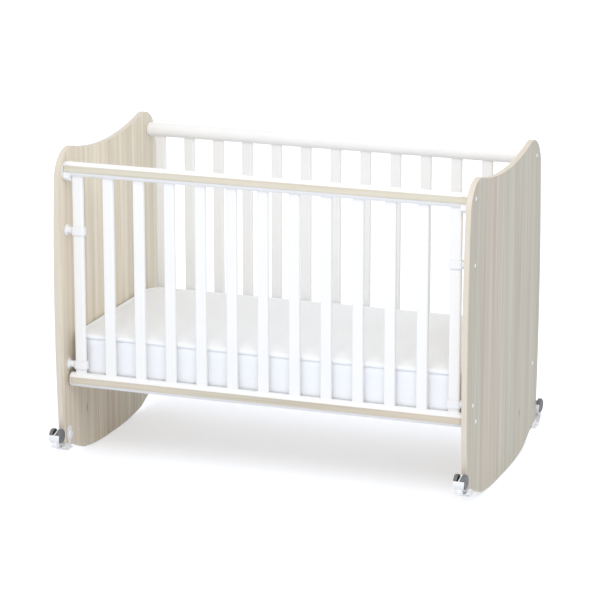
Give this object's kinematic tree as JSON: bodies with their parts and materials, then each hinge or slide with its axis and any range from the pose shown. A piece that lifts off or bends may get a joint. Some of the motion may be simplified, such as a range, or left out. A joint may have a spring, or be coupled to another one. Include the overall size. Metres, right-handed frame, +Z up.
{
  "type": "crib",
  "caption": "Rocking crib with wood-look end panels on rocker feet, white slatted sides, a sliding drop side, fold-away casters and a mattress.",
  "frame": {"origin": "middle of the crib on the floor, level with the flat under the rocker feet", "axes": "+X along the crib from the left end panel to the right one, +Y from the drop side to the fixed back side, +Z up"},
  "size_m": [1.271, 0.833, 0.9405],
  "materials": {
    "oak_laminate": "satin",
    "oak_strip": "satin",
    "white_lacquer": "satin",
    "white_plastic": "gloss",
    "birch_slats": "matte",
    "mattress_cloth": "matte",
    "grey_wheel": "matte"
  },
  "bodies": {
    "crib": {"end_panel_left": "oak_laminate", "end_panel_right": "oak_laminate", "back_top_rail": "white_lacquer", "back_bottom_rail": "white_lacquer", "back_slat_01": "white_lacquer", "back_slat_02": "white_lacquer", "back_slat_03": "white_lacquer", "back_slat_04": "white_lacquer", "back_slat_05": "white_lacquer", "back_slat_06": "white_lacquer", "back_slat_07": "white_lacquer", "back_slat_08": "white_lacquer", "back_slat_09": "white_lacquer", "back_slat_10": "white_lacquer", "back_slat_11": "white_lacquer", "back_slat_12": "white_lacquer", "back_slat_13": "white_lacquer", "upper_guide_left": "white_plastic", "upper_guide_right": "white_plastic", "lower_guide_left": "white_plastic", "lower_guide_right": "white_plastic", "catch_plate_left": "white_plastic", "catch_plate_right": "white_plastic", "bed_base": "birch_slats", "mattress": "mattress_cloth", "caster_bracket_front_left": "white_plastic", "caster_bracket_front_right": "white_plastic", "caster_bracket_back_left": "white_plastic", "caster_bracket_back_right": "white_plastic"},
    "drop_side": {"front_top_rail": "white_lacquer", "front_bottom_rail": "white_lacquer", "front_post_left": "white_lacquer", "front_slat_02": "white_lacquer", "front_slat_03": "white_lacquer", "front_slat_04": "white_lacquer", "front_slat_05": "white_lacquer", "front_slat_06": "white_lacquer", "front_slat_07": "white_lacquer", "front_slat_08": "white_lacquer", "front_slat_09": "white_lacquer", "front_slat_10": "white_lacquer", "front_slat_11": "white_lacquer", "front_slat_12": "white_lacquer", "front_post_right": "white_lacquer", "front_top_strip": "oak_strip", "front_bottom_strip": "oak_strip", "end_fitting_left": "white_plastic", "end_fitting_right": "white_plastic"},
    "leaf_front_left": {"caster_leaf_front_left": "white_plastic"},
    "swivel_front_left": {"caster_hood_front_left": "white_plastic"},
    "wheels_front_left": {"caster_wheels_front_left": "grey_wheel"},
    "leaf_front_right": {"caster_leaf_front_right": "white_plastic"},
    "swivel_front_right": {"caster_hood_front_right": "white_plastic"},
    "wheels_front_right": {"caster_wheels_front_right": "grey_wheel"},
    "leaf_back_left": {"caster_leaf_back_left": "white_plastic"},
    "swivel_back_left": {"caster_hood_back_left": "white_plastic"},
    "wheels_back_left": {"caster_wheels_back_left": "grey_wheel"},
    "leaf_back_right": {"caster_leaf_back_right": "white_plastic"},
    "swivel_back_right": {"caster_hood_back_right": "white_plastic"},
    "wheels_back_right": {"caster_wheels_back_right": "grey_wheel"}
  },
  "joints": [
    {"name": "drop_side_slide", "type": "slide", "parent": "crib", "child": "drop_side", "axis": [0, 0, 1], "range_m": [-0.133, 0]},
    {"name": "leaf_fold_front_left", "type": "hinge", "parent": "crib", "child": "leaf_front_left", "pos_m": [-0.6165, -0.355, 0.049], "axis": [1, 0, 0], "range_deg": [0, 195]},
    {"name": "swivel_turn_front_left", "type": "hinge", "parent": "leaf_front_left", "child": "swivel_front_left", "pos_m": [-0.6165, -0.40607, 0.06461], "axis": [0, 0.2924, 0.9563], "continuous": true},
    {"name": "wheels_roll_front_left", "type": "hinge", "parent": "swivel_front_left", "child": "wheels_front_left", "pos_m": [-0.6165, -0.38899, 0.09996], "axis": [1, 0, 0], "continuous": true},
    {"name": "leaf_fold_front_right", "type": "hinge", "parent": "crib", "child": "leaf_front_right", "pos_m": [0.6165, -0.355, 0.049], "axis": [1, 0, 0], "range_deg": [0, 195]},
    {"name": "swivel_turn_front_right", "type": "hinge", "parent": "leaf_front_right", "child": "swivel_front_right", "pos_m": [0.6165, -0.40607, 0.06461], "axis": [0, 0.2924, 0.9563], "continuous": true},
    {"name": "wheels_roll_front_right", "type": "hinge", "parent": "swivel_front_right", "child": "wheels_front_right", "pos_m": [0.6165, -0.38899, 0.09996], "axis": [1, 0, 0], "continuous": true},
    {"name": "leaf_fold_back_left", "type": "hinge", "parent": "crib", "child": "leaf_back_left", "pos_m": [-0.6165, 0.355, 0.049], "axis": [-1, 0, 0], "range_deg": [0, 195]},
    {"name": "swivel_turn_back_left", "type": "hinge", "parent": "leaf_back_left", "child": "swivel_back_left", "pos_m": [-0.6165, 0.40607, 0.06461], "axis": [0, -0.2924, 0.9563], "continuous": true},
    {"name": "wheels_roll_back_left", "type": "hinge", "parent": "swivel_back_left", "child": "wheels_back_left", "pos_m": [-0.6165, 0.38899, 0.09996], "axis": [1, 0, 0], "continuous": true},
    {"name": "leaf_fold_back_right", "type": "hinge", "parent": "crib", "child": "leaf_back_right", "pos_m": [0.6165, 0.355, 0.049], "axis": [-1, 0, 0], "range_deg": [0, 195]},
    {"name": "swivel_turn_back_right", "type": "hinge", "parent": "leaf_back_right", "child": "swivel_back_right", "pos_m": [0.6165, 0.40607, 0.06461], "axis": [0, -0.2924, 0.9563], "continuous": true},
    {"name": "wheels_roll_back_right", "type": "hinge", "parent": "swivel_back_right", "child": "wheels_back_right", "pos_m": [0.6165, 0.38899, 0.09996], "axis": [1, 0, 0], "continuous": true}
  ]
}
